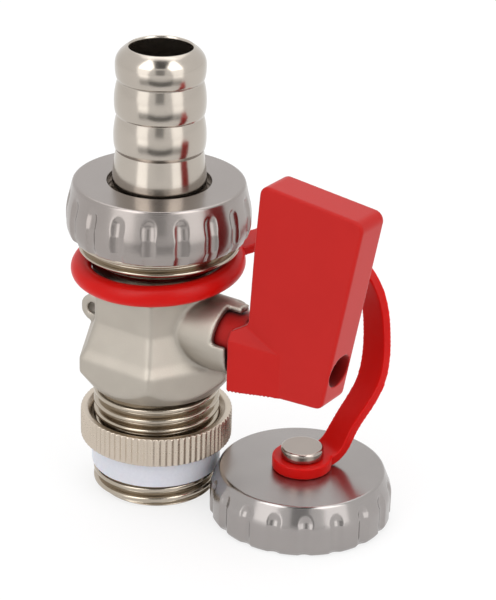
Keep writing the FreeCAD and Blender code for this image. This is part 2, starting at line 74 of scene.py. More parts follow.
def eased_copy(node, cell, easing, triangles, reshape=None):
    """Copy of a CAD node as forging or moulding leaves it: its loose triangles are merged, its skin is laid
    again on a grid of small cells, each point is drawn towards its neighbours a few times, and flat
    stretches are then thinned to the number of triangles."""
    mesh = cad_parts[node].data.copy()
    bm = bmesh.new()
    bm.from_mesh(mesh)
    bmesh.ops.remove_doubles(bm, verts=bm.verts, dist=merge_gap * MM)
    bm.to_mesh(mesh)
    bm.free()
    if reshape:
        points = np.empty(len(mesh.vertices) * 3, dtype=np.float32)
        mesh.vertices.foreach_get("co", points)
        mesh.vertices.foreach_set("co", reshape(points.reshape(-1, 3) / MM).ravel() * MM)
        mesh.update()
    copy = bpy.data.objects.new(node + "_copy", mesh)
    bpy.context.collection.objects.link(copy)
    grid = copy.modifiers.new("grid", "REMESH")
    grid.mode = "VOXEL"
    grid.voxel_size = cell * MM
    ease = copy.modifiers.new("ease", "SMOOTH")
    ease.iterations = easing
    eased = bpy.data.meshes.new_from_object(copy.evaluated_get(bpy.context.evaluated_depsgraph_get()))
    copy.modifiers.clear()
    copy.data = eased
    thin = copy.modifiers.new("thin", "DECIMATE")
    thin.ratio = min(1.0, triangles / (2 * len(eased.polygons)))
    thinned = bpy.data.meshes.new_from_object(copy.evaluated_get(bpy.context.evaluated_depsgraph_get()))
    bpy.data.objects.remove(copy)
    thinned.materials.clear()
    return thinned


def bare_of_threads(points):
    """Body points with both threaded stretches drawn in to just under the thread's root, where the threads
    are put on as pieces of their own."""
    radius = np.hypot(points[:, 0], points[:, 1])
    height = points[:, 2]
    slack = 0.1
    low = height < inlet_thread_span[1] + slack
    inlet = low & (radius > inlet_root_r) & (radius < inlet_crest_r + slack)
    outlet = (height > outlet_thread_span[0] - slack) & (radius > outlet_root_r)
    target = np.where(inlet, inlet_root_r - core_inset, radius)
    target = np.where(outlet, outlet_root_r - core_inset, target)
    share = (target / np.maximum(radius, slack))[:, None]
    return (points * np.hstack([share, share, np.ones_like(share)])).astype(np.float32)


def skinned(name, grid, wraps=True):
    """Mesh over a grid of points (profile step, turn step) in millimetres: every cell is a quad, the last
    turn step joins the first, and so does the last profile step where the profile wraps. Points that fall
    together on an axis are merged."""
    rows, turns, _ = grid.shape
    index = np.arange(rows * turns).reshape(rows, turns)
    low = index if wraps else index[:-1]
    high = np.roll(index, -1, axis=0) if wraps else index[1:]
    quads = np.stack([low, np.roll(low, -1, axis=1), np.roll(high, -1, axis=1), high], axis=-1)
    mesh = bpy.data.meshes.new(name)
    mesh.from_pydata((grid * MM).reshape(-1, 3).tolist(), [], quads.reshape(-1, 4).tolist())
    bm = bmesh.new()
    bm.from_mesh(mesh)
    bmesh.ops.remove_doubles(bm, verts=bm.verts, dist=merge_gap * MM)
    bm.to_mesh(mesh)
    bm.free()
    return mesh


def thread_sleeve(name, root_r, crest_r, span, inside, turns=240, steps_per_pitch=16):
    """Right-hand pipe thread as a closed sleeve: at height z and angle a the phase is z / pitch - a / turn.
    The radius goes from root to crest by the cosine wave of that phase, flattened so that flanks are
    straight and crests broad and round, and sinks to the root at both ends. Rows (radius, height) from top
    to bottom close the inside."""
    bottom, top = span
    z = np.linspace(bottom, top, int((top - bottom) / thread_pitch * steps_per_pitch))[:, None]
    a = np.linspace(0, 2 * np.pi, turns, endpoint=False)[None, :]
    wave = np.cos(2 * np.pi * (z / thread_pitch - a / (2 * np.pi)))
    flank = np.tanh(thread_flank * (wave + thread_crest))
    low, high = np.tanh(thread_flank * (thread_crest - 1)), np.tanh(thread_flank * (thread_crest + 1))
    fade = np.sqrt(np.clip(np.minimum(z - bottom, top - z) / thread_runout, 0, 1))
    outer_r = root_r + (crest_r - root_r) * (flank - low) / (high - low) * fade
    inner = np.array(inside)
    r = np.vstack([outer_r, inner[:, :1] * np.ones((1, turns))])
    heights = np.vstack([z, inner[:, 1:]]) * np.ones((1, turns))
    return skinned(name, np.stack([r * np.cos(a), r * np.sin(a), heights], axis=-1))


def linear(code):
    """sRGB hex colour as the linear red, green, blue and alpha that shaders use."""
    srgb = np.array([int(code[k:k + 2], 16) for k in (1, 3, 5)]) / 255
    return (*np.where(srgb <= 0.04045, srgb / 12.92, ((srgb + 0.055) / 1.055) ** 2.4), 1.0)


def add_node(material, kind, inputs=None, **settings):
    """One shader node with its settings, and its inputs as values or as the outputs that feed them."""
    node = material.node_tree.nodes.new(kind)
    for setting, value in settings.items():
        setattr(node, setting, value)
    for socket, value in (inputs or {}).items():
        if isinstance(value, bpy.types.NodeSocket):
            material.node_tree.links.new(value, node.inputs[socket])
        else:
            node.inputs[socket].default_value = value
    return node


def new_material(name):
    """Empty node material and its output node."""
    material = bpy.data.materials.new(name)
    material.use_nodes = True
    material.node_tree.nodes.clear()
    return material, add_node(material, "ShaderNodeOutputMaterial")


# Nickel-plated forged brass, shot-blasted: dull warm grey with a fine even grit and faint cloudy patches
# from the plating bath. It spreads highlights wide, so facets read as soft steps of grey. Real blast marks
# are about 0.1 mm wide and are drawn coarser, so that they don't vanish between pixels.
forged_nickel, output = new_material("nickel_plated_forged_brass")
blast_grit = 0.22
grit_height = 0.05
grit_dullness = (0.43, 0.55)
bath_cloud = 6.0
crevice_shade_reach = 1.6
place = add_node(forged_nickel, "ShaderNodeTexCoord").outputs["Object"]
cloud = add_node(forged_nickel, "ShaderNodeTexNoise", {
    "Vector": place, "Scale": 1 / (bath_cloud * MM), "Detail": 2.0})
grit = add_node(forged_nickel, "ShaderNodeTexNoise", {
    "Vector": place, "Scale": 1 / (blast_grit * MM), "Detail": 3.0})
plate = add_node(forged_nickel, "ShaderNodeMix", {
    "Factor": cloud.outputs["Fac"], "A": linear("#a8a197"), "B": linear("#b8b1a7")}, data_type="RGBA")
# Painted shade: the plate colour goes to near black in corners, creases and gaps between parts, wherever
# ambient occlusion finds other surfaces within this reach.
painted_crevice_shade = add_node(forged_nickel, "ShaderNodeAmbientOcclusion", {"Distance": crevice_shade_reach * MM})
tone = add_node(forged_nickel, "ShaderNodeMix", {
    "Factor": painted_crevice_shade.outputs["AO"], "A": linear("#2c2723"), "B": plate.outputs["Result"]}, data_type="RGBA")
dull = add_node(forged_nickel, "ShaderNodeMapRange", {
    "Value": grit.outputs["Fac"], "To Min": grit_dullness[0], "To Max": grit_dullness[1]})
relief = add_node(forged_nickel, "ShaderNodeBump", {
    "Height": grit.outputs["Fac"], "Strength": 0.35, "Distance": grit_height * MM})
surface = add_node(forged_nickel, "ShaderNodeBsdfPrincipled", {
    "Base Color": tone.outputs["Result"], "Metallic": 1.0, "Roughness": dull.outputs["Result"],
    "Normal": relief.outputs["Normal"]})
forged_nickel.node_tree.links.new(surface.outputs["BSDF"], output.inputs["Surface"])


def turned_nickel(name, centre, tone_low, tone_high, roughness, brushed=0.0):
    """Nickel over turned brass: bright and warm, with the tool's fine rings. Distance from the piece's axis
    and height drive the rings, so they run round it and across its flat faces alike. A brushed piece spreads
    its mirror images across the rings. Real rings are about 0.1 mm apart and are drawn coarser."""
    material, end = new_material(name)
    tool_step = 0.4
    tool_height = 0.01
    ring_spread = 0.1
    across_rings = 0.25  # a quarter turn from the rings
    spot = add_node(material, "ShaderNodeTexCoord").outputs["Object"]
    centred = add_node(material, "ShaderNodeMapping", {"Vector": spot, "Location": [-c * MM for c in centre]})
    parts = add_node(material, "ShaderNodeSeparateXYZ", {"Vector": centred.outputs["Vector"]})
    flat = add_node(material, "ShaderNodeCombineXYZ", {"X": parts.outputs["X"], "Y": parts.outputs["Y"]})
    off_axis = add_node(material, "ShaderNodeVectorMath", {0: flat.outputs["Vector"]}, operation="LENGTH")
    feed = add_node(material, "ShaderNodeCombineXYZ", {
        "X": off_axis.outputs["Value"], "Y": parts.outputs["Z"]})
    rings = add_node(material, "ShaderNodeTexNoise", {
        "Vector": feed.outputs["Vector"], "Scale": 1 / (tool_step * MM), "Detail": 1.0})
    patches = add_node(material, "ShaderNodeTexNoise", {"Vector": spot, "Scale": 1 / (bath_cloud * MM)})
    colour = add_node(material, "ShaderNodeMix", {
        "Factor": patches.outputs["Fac"], "A": linear(tone_low), "B": linear(tone_high)}, data_type="RGBA")
    sheen = add_node(material, "ShaderNodeMapRange", {
        "Value": rings.outputs["Fac"], "To Min": roughness * (1 - ring_spread),
        "To Max": roughness * (1 + ring_spread)})
    marks = add_node(material, "ShaderNodeBump", {
        "Height": rings.outputs["Fac"], "Strength": 0.04, "Distance": tool_height * MM})
    round_axis = add_node(material, "ShaderNodeVectorMath", {
        0: (0.0, 0.0, 1.0), 1: centred.outputs["Vector"]}, operation="CROSS_PRODUCT")
    groove = add_node(material, "ShaderNodeVectorTransform", {"Vector": round_axis.outputs["Vector"]},
                      vector_type="VECTOR", convert_from="OBJECT", convert_to="WORLD")
    shader = add_node(material, "ShaderNodeBsdfPrincipled", {
        "Base Color": colour.outputs["Result"], "Metallic": 1.0, "Roughness": sheen.outputs["Result"],
        "Normal": marks.outputs["Normal"], "Anisotropic": brushed, "Anisotropic Rotation": across_rings,
        "Tangent": groove.outputs["Vector"]})
    material.node_tree.links.new(shader.outputs["BSDF"], end.inputs["Surface"])
    return material


valve_axis = (0.0, 0.0, 0.0)

# Plated thread, cut clean by the die: bright lines on the crests and dark ones in the roots.
bright_thread = turned_nickel("nickel_plated_cut_thread", valve_axis, "#a99e8f", "#bab0a2", 0.18)

valve_body = shown("forged_body", eased_copy(
    "valve_body", body_cell, body_easing, body_triangles, bare_of_threads), "valve")
valve_body.data.materials.append(forged_nickel)
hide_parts("valve_body")

inlet_thread = shown("inlet_thread", thread_sleeve(
    "inlet_thread", inlet_root_r, inlet_crest_r, inlet_thread_span,
    [(inlet_wall_r, inlet_thread_span[1]), (inlet_wall_r, inlet_thread_span[0])]), "valve")
inlet_thread.data.materials.append(bright_thread)

outlet_thread = shown("outlet_thread", thread_sleeve(
    "outlet_thread", outlet_root_r, outlet_crest_r, outlet_thread_span,
    [(neck_wall_r, outlet_thread_span[1]), (neck_wall_r, neck_span[0]), (neck_r, neck_span[0]),
     (neck_r, neck_span[1])]), "valve")
outlet_thread.data.materials.append(bright_thread)

# Ball, stem, seats, seals and screw
# Inside the body a chromed ball turns between PTFE seats that a screwed brass ring holds. The stem's tang
# drives it, a PTFE washer and rubber rings seal the stem, rubber gaskets seal the hose tail and the cap, and
# a zinc-plated screw holds the lever.

# Polished chrome plate: a cold clear mirror with a faint haze.
chrome, output = new_material("polished_chrome_plate")
haze_size = 3.0
haze_dullness = (0.05, 0.12)
place = add_node(chrome, "ShaderNodeTexCoord").outputs["Object"]
haze = add_node(chrome, "ShaderNodeTexNoise", {"Vector": place, "Scale": 1 / (haze_size * MM)})
shine = add_node(chrome, "ShaderNodeMapRange", {
    "Value": haze.outputs["Fac"], "To Min": haze_dullness[0], "To Max": haze_dullness[1]})
plate = add_node(chrome, "ShaderNodeMix", {
    "Factor": haze.outputs["Fac"], "A": linear("#c3c5c9"), "B": linear("#ced0d3")}, data_type="RGBA")
surface = add_node(chrome, "ShaderNodeBsdfPrincipled", {
    "Base Color": plate.outputs["Result"], "Metallic": 1.0, "Roughness": shine.outputs["Result"]})
chrome.node_tree.links.new(surface.outputs["BSDF"], output.inputs["Surface"])

# PTFE, machined from rod: waxy bluish white that light enters a little way, with a faint mottle.
ptfe, output = new_material("machined_ptfe")
wax_mottle = 0.5
wax_depth = 0.6
place = add_node(ptfe, "ShaderNodeTexCoord").outputs["Object"]
wax = add_node(ptfe, "ShaderNodeTexNoise", {"Vector": place, "Scale": 1 / (wax_mottle * MM)})
milk = add_node(ptfe, "ShaderNodeMix", {
    "Factor": wax.outputs["Fac"], "A": linear("#c3c4cd"), "B": linear("#d0d1d8")}, data_type="RGBA")
surface = add_node(ptfe, "ShaderNodeBsdfPrincipled", {
    "Base Color": milk.outputs["Result"], "Roughness": 0.38, "IOR": 1.38, "Subsurface Weight": 0.15,
    "Subsurface Scale": wax_depth * MM})
ptfe.node_tree.links.new(surface.outputs["BSDF"], output.inputs["Surface"])

# Nitrile rubber, moulded: near black and dull, with a dusty bloom.
rubber, output = new_material("moulded_nitrile_rubber")
bloom_size = 1.2
place = add_node(rubber, "ShaderNodeTexCoord").outputs["Object"]
bloom = add_node(rubber, "ShaderNodeTexNoise", {"Vector": place, "Scale": 1 / (bloom_size * MM)})
dust = add_node(rubber, "ShaderNodeMix", {
    "Factor": bloom.outputs["Fac"], "A": linear("#1b1b1c"), "B": linear("#2b2b2c")}, data_type="RGBA")
surface = add_node(rubber, "ShaderNodeBsdfPrincipled", {
    "Base Color": dust.outputs["Result"], "Roughness": 0.7})
rubber.node_tree.links.new(surface.outputs["BSDF"], output.inputs["Surface"])

# Zinc-plated steel screw: grey with a faint mottled shine.
zinc, output = new_material("zinc_plated_steel")
mottle_size = 0.8
place = add_node(zinc, "ShaderNodeTexCoord").outputs["Object"]
mottle = add_node(zinc, "ShaderNodeTexNoise", {"Vector": place, "Scale": 1 / (mottle_size * MM)})
grey = add_node(zinc, "ShaderNodeMix", {
    "Factor": mottle.outputs["Fac"], "A": linear("#8f9092"), "B": linear("#a8a9ac")}, data_type="RGBA")
surface = add_node(zinc, "ShaderNodeBsdfPrincipled", {
    "Base Color": grey.outputs["Result"], "Metallic": 1.0, "Roughness": 0.35})
zinc.node_tree.links.new(surface.outputs["BSDF"], output.inputs["Surface"])

# Plated turned brass out of sight: plain bright grey.
inner_nickel = turned_nickel("nickel_plated_turned_brass", valve_axis, "#a29c90", "#b8b2a5", 0.2)
inner_pieces = {
    "ball": (chrome, "chromed_brass"),
    "stem": (inner_nickel, "turned_nickel_brass"),
    "seat_retainer": (inner_nickel, "turned_nickel_brass"),
    "inlet_seat": (ptfe, "ptfe"),
    "outlet_seat": (ptfe, "ptfe"),
    "stem_thrust_washer": (ptfe, "ptfe"),
    "stem_o_ring_inner": (rubber, "rubber"),
    "stem_o_ring_outer": (rubber, "rubber"),
    "hose_tail_gasket": (rubber, "rubber"),
    "cap_gasket": (rubber, "rubber"),
    "handle_screw": (zinc, "steel"),
}
for node_name, (material, slot_name) in inner_pieces.items():
    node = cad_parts[node_name]
    node.data.materials.clear()
    node.data.materials.append(material)

# Sealing ring and lock nut
# On the inlet thread a white PTFE ring is pushed against the boiler's socket by a thin brass ring nut with
# a fine straight knurl on its rim.
seal_r = 10.78
ring_bore_r = 10.55
seal_span = (4.2, 9.0)
seal_soft = 0.45
seal_bore_soft = 0.1
lock_r = 12.64
lock_span = (9.0, 14.0)
lock_soft = 0.45
lock_sink = 1.0
bore_soft = 0.2
knurl_teeth = 76
knurl_depth = 0.3
knurl_steps = 8


def soft_profile(corners, steps=7, spacing=0.5, closed=True):
    """Profile with eased corners from rows (radius, height, ease). Each corner is replaced by a parabola that
    leaves the straight sides that far before and after it, and the sides get points at an even spacing
    between. A closed profile goes back to its first corner, and an open one runs from pole to pole."""
    rows = np.array(corners, dtype=float)
    points, ease = rows[:, :2], rows[:, 2:]
    before = np.roll(points, 1, axis=0) - points
    after = np.roll(points, -1, axis=0) - points
    before_len = np.linalg.norm(before, axis=1, keepdims=True)
    after_len = np.linalg.norm(after, axis=1, keepdims=True)
    start = points + before / before_len * np.minimum(ease, before_len / 2)
    end = points + after / after_len * np.minimum(ease, after_len / 2)
    s = np.linspace(0, 1, steps)[None, :, None]
    bends = (1 - s) ** 2 * start[:, None] + 2 * s * (1 - s) * points[:, None] + s ** 2 * end[:, None]
    line = bends.reshape(-1, 2)
    line = np.vstack([line, line[:1]]) if closed else line
    length = np.concatenate([[0], np.cumsum(np.linalg.norm(np.diff(line, axis=0), axis=1))])
    stations = np.union1d(length, np.arange(0, length[-1], spacing))
    stations = stations[:-1] if closed else stations
    radius, height = (np.interp(stations, length, values) for values in line.T)
    return np.column_stack([radius, height])


def turned_ring(name, profile, centre=(0.0, 0.0), turns=192, limit=None, wraps=True):
    """Profile carried round a vertical axis at the centre: x = r cos a, y = r sin a. Where a limit is given,
    a function of angle and height, the radius is the lesser of the two."""
    a = np.linspace(0, 2 * np.pi, turns, endpoint=False)[None, :]
    z = profile[:, 1:] * np.ones_like(a)
    r = profile[:, :1] * np.ones_like(a)
    if limit is not None:
        r = np.minimum(r, limit(a, z))
    x, y = centre
    return skinned(name, np.stack([x + r * np.cos(a), y + r * np.sin(a), z], axis=-1), wraps)


seal_profile = soft_profile([
    (ring_bore_r, seal_span[0], seal_bore_soft), (seal_r, seal_span[0], seal_soft),
    (seal_r, seal_span[1], seal_soft), (ring_bore_r, seal_span[1], seal_bore_soft)])
seal_ring = shown("seal_ring", turned_ring("seal_ring", seal_profile), "thread_seal")
seal_ring.data.materials.append(ptfe)
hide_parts("thread_seal_ring")


def knurl_limit(angle, height):
    """Rim of the knurl, the same at every height: a zigzag with rounded crests and roots, one a tooth, as
    the arc sine of a cosine that stops a little short of one."""
    reach = 0.95
    wave = np.arcsin(reach * np.cos(knurl_teeth * angle)) / np.arcsin(reach)
    return lock_r - knurl_depth * (0.5 - 0.5 * wave) + 0 * height


lock_profile = soft_profile([
    (ring_bore_r, lock_span[0], bore_soft), (lock_r, lock_span[0], lock_soft),
    (lock_r, lock_span[1], lock_soft), (ring_bore_r + lock_sink, lock_span[1], bore_soft),
    (ring_bore_r, lock_span[1] - lock_sink, bore_soft)])

# Plated knurl: pale and warm, with highlights that its teeth break into fine streaks.
knurled_nickel = turned_nickel("nickel_plated_knurled_brass", valve_axis, "#c0b4a5", "#ccc0b2", 0.28)
knurled_nut = shown("knurled_nut", turned_ring(
    "knurled_nut", lock_profile, turns=knurl_teeth * knurl_steps, limit=knurl_limit), "lock")
knurled_nut.data.materials.append(knurled_nickel)
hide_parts("lock_nut")

# Hose tail
# Turned brass tube, nickel plated and bright: a collar under the union nut, a plain stem, and three round
# barbs that rise slowly towards the nut's side and end in a short shoulder, so that a hose can't slip off.
tail_bore_r = 5.0
tail_span = (50.806, 76.806)
tail_soft = 0.3
collar_r = 12.6
collar_top = 52.706
stem_r = 7.6
stem_taper = 55.6
stem_fade = 2.0
barb_feet = (59.906, 65.706, 71.506)
barb_radii = (7.4, 7.32, 7.2)
groove_radii = (7.0, 6.88, 6.75)
barb_pitch = 5.8
belly_share = 0.38
barb_steps = 28
lip_r = 5.2
lip_curve = 2.6


def barb_outline(foot, groove_r, belly_r, next_r):
    """One barb from its groove up, as rows (radius, height, no ease): a quarter of an ellipse swings out to
    the belly, and a longer parabola comes in again to the next groove."""
    up = np.linspace(0, 1, barb_steps, endpoint=False)
    low = np.sqrt(np.maximum(1 - (1 - np.clip(up / belly_share, 0, 1)) ** 2, 0))
    high = 1 - np.clip((up - belly_share) / (1 - belly_share), 0, 1) ** 2
    swell = groove_r + (belly_r - groove_r) * low
    taper = next_r + (belly_r - next_r) * high
    return np.column_stack([np.where(up < belly_share, swell, taper), foot + barb_pitch * up, 0 * up])


def mouth_outline(foot, groove_r, belly_r):
    """Last barb, as rows: the same low quarter of an ellipse, then a full lip that comes in to the bore's
    edge by a power of the height."""
    low = barb_outline(foot, groove_r, belly_r, groove_r)
    base = foot + belly_share * barb_pitch
    low = low[low[:, 1] < base]
    crown = np.linspace(0, 1, barb_steps)
    radius = lip_r + (belly_r - lip_r) * (1 - crown ** lip_curve)
    return np.vstack([low, np.column_stack([radius, base + (tail_span[1] - base) * crown, 0 * crown])])


tail_corners = np.vstack([
    [(tail_bore_r, tail_span[0], tail_soft), (collar_r, tail_span[0], tail_soft),
     (collar_r, collar_top, tail_soft), (stem_r, collar_top, tail_soft), (stem_r, stem_taper, stem_fade)],
    barb_outline(barb_feet[0], groove_radii[0], barb_radii[0], groove_radii[1]),
    barb_outline(barb_feet[1], groove_radii[1], barb_radii[1], groove_radii[2]),
    mouth_outline(barb_feet[2], groove_radii[2], barb_radii[2]),
    [(tail_bore_r, tail_span[1] - tail_soft, tail_soft / 2)]])

# Plated and polished tail: long clear highlights down its bellies, and dark lines in its grooves.
tail_nickel = turned_nickel("nickel_plated_polished_brass", valve_axis, "#aea69c", "#bab2a8", 0.18)
hose_tail = shown("barbed_tail", turned_ring("barbed_tail", soft_profile(tail_corners)), "hose_connector")
hose_tail.data.materials.append(tail_nickel)
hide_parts("hose_tail")

# Union nut
# Turned brass nut, nickel plated, with round-bottomed grip flutes milled up its rim. Its roof pulls the
# hose tail's collar down on the outlet.
nut_span = (45.506, 54.506)
nut_r = 14.94
nut_bore_r = 13.37
nut_face_r = 13.82
nut_foot_r = 14.35
nut_hole_r = 8.4
nut_seat = 52.706
nut_inner_ease = 0.2
nut_foot_slope = 1.6
nut_top_slope = 4.6
flute_count = 18
flute_half = 1.2
flute_depth = 0.45
flute_end = 2.7
flute_edge = 0.12
flute_steps = 28
flute_spacing = 0.4


def fluted_limit(outline, turn):
    """Outer limit of a fluted rim at an angle and height: the rim's outline, rows (radius, height), less a
    groove whose depth falls off with the square of the distance from its middle line. That line stops short
    of the top, so the groove's end is round. A square root rounds the edges."""
    radii, heights = np.array(outline).T
    pitch = 2 * np.pi / flute_count

    def limit(angle, height):
        off = (np.mod(angle - math.radians(turn) + pitch / 2, pitch) - pitch / 2) * radii.max()
        above = np.maximum(height - (heights.max() - flute_end), 0)
        inside = 1 - (off ** 2 + above ** 2) / flute_half ** 2
        groove = flute_depth * (inside + np.sqrt(inside ** 2 + flute_edge ** 2)) / 2
        return np.interp(height, heights, radii) - groove

    return limit


nut_outline = ((nut_foot_r, nut_span[0]), (nut_r, nut_span[0] + nut_foot_slope),
               (nut_r, nut_span[1] - nut_top_slope), (nut_face_r, nut_span[1]))
nut_eases = (0.4, 1.2, 1.6, 0.5)
nut_profile = soft_profile([
    (nut_bore_r, nut_span[0], nut_inner_ease),
    *[(*corner, ease) for corner, ease in zip(nut_outline, nut_eases)],
    (nut_hole_r, nut_span[1], nut_inner_ease), (nut_hole_r, nut_seat, nut_inner_ease),
    (nut_bore_r, nut_seat, nut_inner_ease)], spacing=flute_spacing)

# Plated satin nut: a cooler grey, whose tool rings draw highlights out across them.
nut_nickel = turned_nickel("nickel_plated_satin_brass", valve_axis, "#98918d", "#a09995", 0.26, brushed=0.5)
union_nut = shown("fluted_union_nut", turned_ring(
    "fluted_union_nut", nut_profile, turns=flute_count * flute_steps,
    limit=fluted_limit(nut_outline, 0.0)), "union")
union_nut.data.materials.append(nut_nickel)
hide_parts("union_nut")

# Lever
# Glass-filled nylon, moulded in red: a flat tapered paddle whose hub fades in to the stem boss. A screw at
# the bottom of its access hole holds it on the stem.
lever_cell = 0.15
lever_easing = 5
lever_triangles = 140000
heel_corner = (17.5, 5.4, 28.4)
heel_sole = 24.0
heel_reach = 0.3


def full_heel(points):
    """Lever points with the hub's two low corners brought straight down to the lever's sole, where the
    moulding is full."""
    folded = np.column_stack([points[:, 0], np.abs(points[:, 1]), points[:, 2]])
    off = np.abs(folded - heel_corner).max(axis=1)
    height = np.where(off < heel_reach, heel_sole, points[:, 2])
    return np.column_stack([points[:, :2], height]).astype(np.float32)


lever = shown("moulded_lever", eased_copy(
    "lever_handle", lever_cell, lever_easing, lever_triangles, full_heel), "lever")

# Moulded nylon: even red with a fine spark-eroded grain that dulls it, paler where light rakes the grain.
# The real grain is about 0.05 mm wide and is drawn coarser.
lever_red, output = new_material("moulded_red_nylon")
mould_grain = 0.18
grain_height = 0.04
melt_cloud = 9.0
hollow_shade_reach = 6.0
place = add_node(lever_red, "ShaderNodeTexCoord").outputs["Object"]
grain = add_node(lever_red, "ShaderNodeTexNoise", {
    "Vector": place, "Scale": 1 / (mould_grain * MM), "Detail": 2.0})
flow = add_node(lever_red, "ShaderNodeTexNoise", {"Vector": place, "Scale": 1 / (melt_cloud * MM)})
pigment = add_node(lever_red, "ShaderNodeMix", {
    "Factor": flow.outputs["Fac"], "A": linear("#ab1410"), "B": linear("#b31914")}, data_type="RGBA")
# Painted shade: the red goes to a dark maroon in the access hole, at the hub against the boss and wherever
# other surfaces are close, as ambient occlusion finds them.
painted_hollow_shade = add_node(lever_red, "ShaderNodeAmbientOcclusion", {"Distance": hollow_shade_reach * MM})
red_with_painted_shade = add_node(lever_red, "ShaderNodeMix", {
    "Factor": painted_hollow_shade.outputs["AO"], "A": linear("#3a0403"), "B": pigment.outputs["Result"]}, data_type="RGBA")
texture = add_node(lever_red, "ShaderNodeBump", {
    "Height": grain.outputs["Fac"], "Strength": 0.2, "Distance": grain_height * MM})
surface = add_node(lever_red, "ShaderNodeBsdfPrincipled", {
    "Base Color": red_with_painted_shade.outputs["Result"], "Roughness": 0.45, "IOR": 1.52, "Specular IOR Level": 0.1,
    "Sheen Weight": 0.25, "Sheen Roughness": 0.4, "Normal": texture.outputs["Normal"]})
lever_red.node_tree.links.new(surface.outputs["BSDF"], output.inputs["Surface"])
lever.data.materials.append(lever_red)
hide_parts("lever_handle")

# Strap
# Soft red plastic moulded in one piece: a round ring that snaps over the body's neck, a flat band, and an
# eye under the cap's rivet.
strap_cell = 0.17
strap_easing = 6
strap_triangles = 70000
strap = shown("moulded_strap", eased_copy("cap_strap", strap_cell, strap_easing, strap_triangles), "strap")

# Moulded soft PVC: clear even red with a smooth waxy gloss and a slow ripple from the mould.
strap_red, output = new_material("moulded_red_soft_pvc")
ripple_size = 2.5
ripple_height = 0.1
glow_depth = 1.5
place = add_node(strap_red, "ShaderNodeTexCoord").outputs["Object"]
ripple = add_node(strap_red, "ShaderNodeTexNoise", {"Vector": place, "Scale": 1 / (ripple_size * MM)})
pigment = add_node(strap_red, "ShaderNodeMix", {
    "Factor": ripple.outputs["Fac"], "A": linear("#b80a06"), "B": linear("#c00f0a")}, data_type="RGBA")
wave = add_node(strap_red, "ShaderNodeBump", {
    "Height": ripple.outputs["Fac"], "Strength": 0.15, "Distance": ripple_height * MM})
surface = add_node(strap_red, "ShaderNodeBsdfPrincipled", {
    "Base Color": pigment.outputs["Result"], "Roughness": 0.34, "IOR": 1.5, "Specular IOR Level": 0.12,
    "Subsurface Weight": 0.6, "Subsurface Radius": (1.0, 0.15, 0.1), "Subsurface Scale": glow_depth * MM,
    "Normal": wave.outputs["Normal"]})
strap_red.node_tree.links.new(surface.outputs["BSDF"], output.inputs["Surface"])
strap.data.materials.append(strap_red)
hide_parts("cap_strap")

# Blanking cap and rivet
# Turned brass cap, nickel plated and fluted like the nut, that closes the outlet when the hose tail is off.
# A brass rivet through its roof holds the strap's eye so that the cap can turn.
cap_centre = (25.54, 5.569)
cap_r = 14.97
cap_height = 8.4
cap_face_r = 13.57
cap_foot_r = 14.47
cap_foot_slope = 0.7
cap_top_slope = 3.4
cap_ceiling = 6.2
cap_hole_r = 1.95
cap_flute_turn = 6.0
cap_outline = ((cap_foot_r, 0.0), (cap_r, cap_foot_slope),
               (cap_r, cap_height - cap_top_slope), (cap_face_r, cap_height))
cap_eases = (0.3, 0.3, 0.9, 0.45)
cap_profile = soft_profile([
    (nut_bore_r, 0.0, nut_inner_ease),
    *[(*corner, ease) for corner, ease in zip(cap_outline, cap_eases)],
    (cap_hole_r, cap_height, nut_inner_ease), (cap_hole_r, cap_ceiling, nut_inner_ease),
    (nut_bore_r, cap_ceiling, nut_inner_ease)], spacing=flute_spacing)

# Plated satin cap: grey, with mirror images of strap and rivet that blur outwards over its flat top.
cap_nickel = turned_nickel(
    "nickel_plated_satin_cap", (*cap_centre, 0.0), "#9a9593", "#a49f9c", 0.22, brushed=0.75)
cap = shown("fluted_cap", turned_ring(
    "fluted_cap", cap_profile, cap_centre, turns=flute_count * flute_steps,
    limit=fluted_limit(cap_outline, cap_flute_turn)), "cap")
cap.data.materials.append(cap_nickel)
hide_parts("blanking_cap")

rivet_r = 1.9
rivet_head_r = 3.5
rivet_seat = 10.5
rivet_top = 12.2
rivet_foot_r = 3.2
rivet_foot = 5.3
rivet_foot_soft = 0.3
rivet_seat_soft = 0.25
rivet_top_soft = 0.5
rivet_shank_soft = 0.1
rivet_turns = 96
rivet_profile = soft_profile([
    (0.0, rivet_foot, 0.0), (rivet_foot_r, rivet_foot, rivet_foot_soft),
    (rivet_foot_r, cap_ceiling, rivet_shank_soft), (rivet_r, cap_ceiling, rivet_shank_soft),
    (rivet_r, rivet_seat, rivet_shank_soft), (rivet_head_r, rivet_seat, rivet_seat_soft),
    (rivet_head_r, rivet_top, rivet_top_soft), (0.0, rivet_top, 0.0)], closed=False)

# Plated rivet: a smooth bright head with a clear edge.
rivet_nickel = turned_nickel("nickel_plated_rivet", (*cap_centre, 0.0), "#a0968f", "#aba199", 0.17)
rivet = shown("rivet", turned_ring("rivet", rivet_profile, cap_centre, rivet_turns, wraps=False), "cap")
rivet.data.materials.append(rivet_nickel)
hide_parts("cap_rivet")

# Studio
# The valve stands on a white table in soft light: one large softbox on each side of the camera and one
# overhead, with dark and bright cards that only mirrors see, so that plated metal has something to show.
camera_place = Vector((195.023, -268.098, 187.028)) * MM
camera_axes = (
    (0.826374, -0.257636, 0.500729),
    (0.562409, 0.332878, -0.756894),
    (0.028321, 0.907092, 0.419979))
camera_lens = 133.976
camera_near = 0.01
camera = bpy.data.objects.new("camera", bpy.data.cameras.new("camera"))
camera.data.lens = camera_lens
camera.data.clip_start = camera_near
camera.matrix_world = Matrix.Translation(camera_place) @ Matrix(camera_axes).to_4x4()
bpy.context.collection.objects.link(camera)
bpy.context.scene.camera = camera
bpy.context.scene.view_settings.view_transform = "Standard"

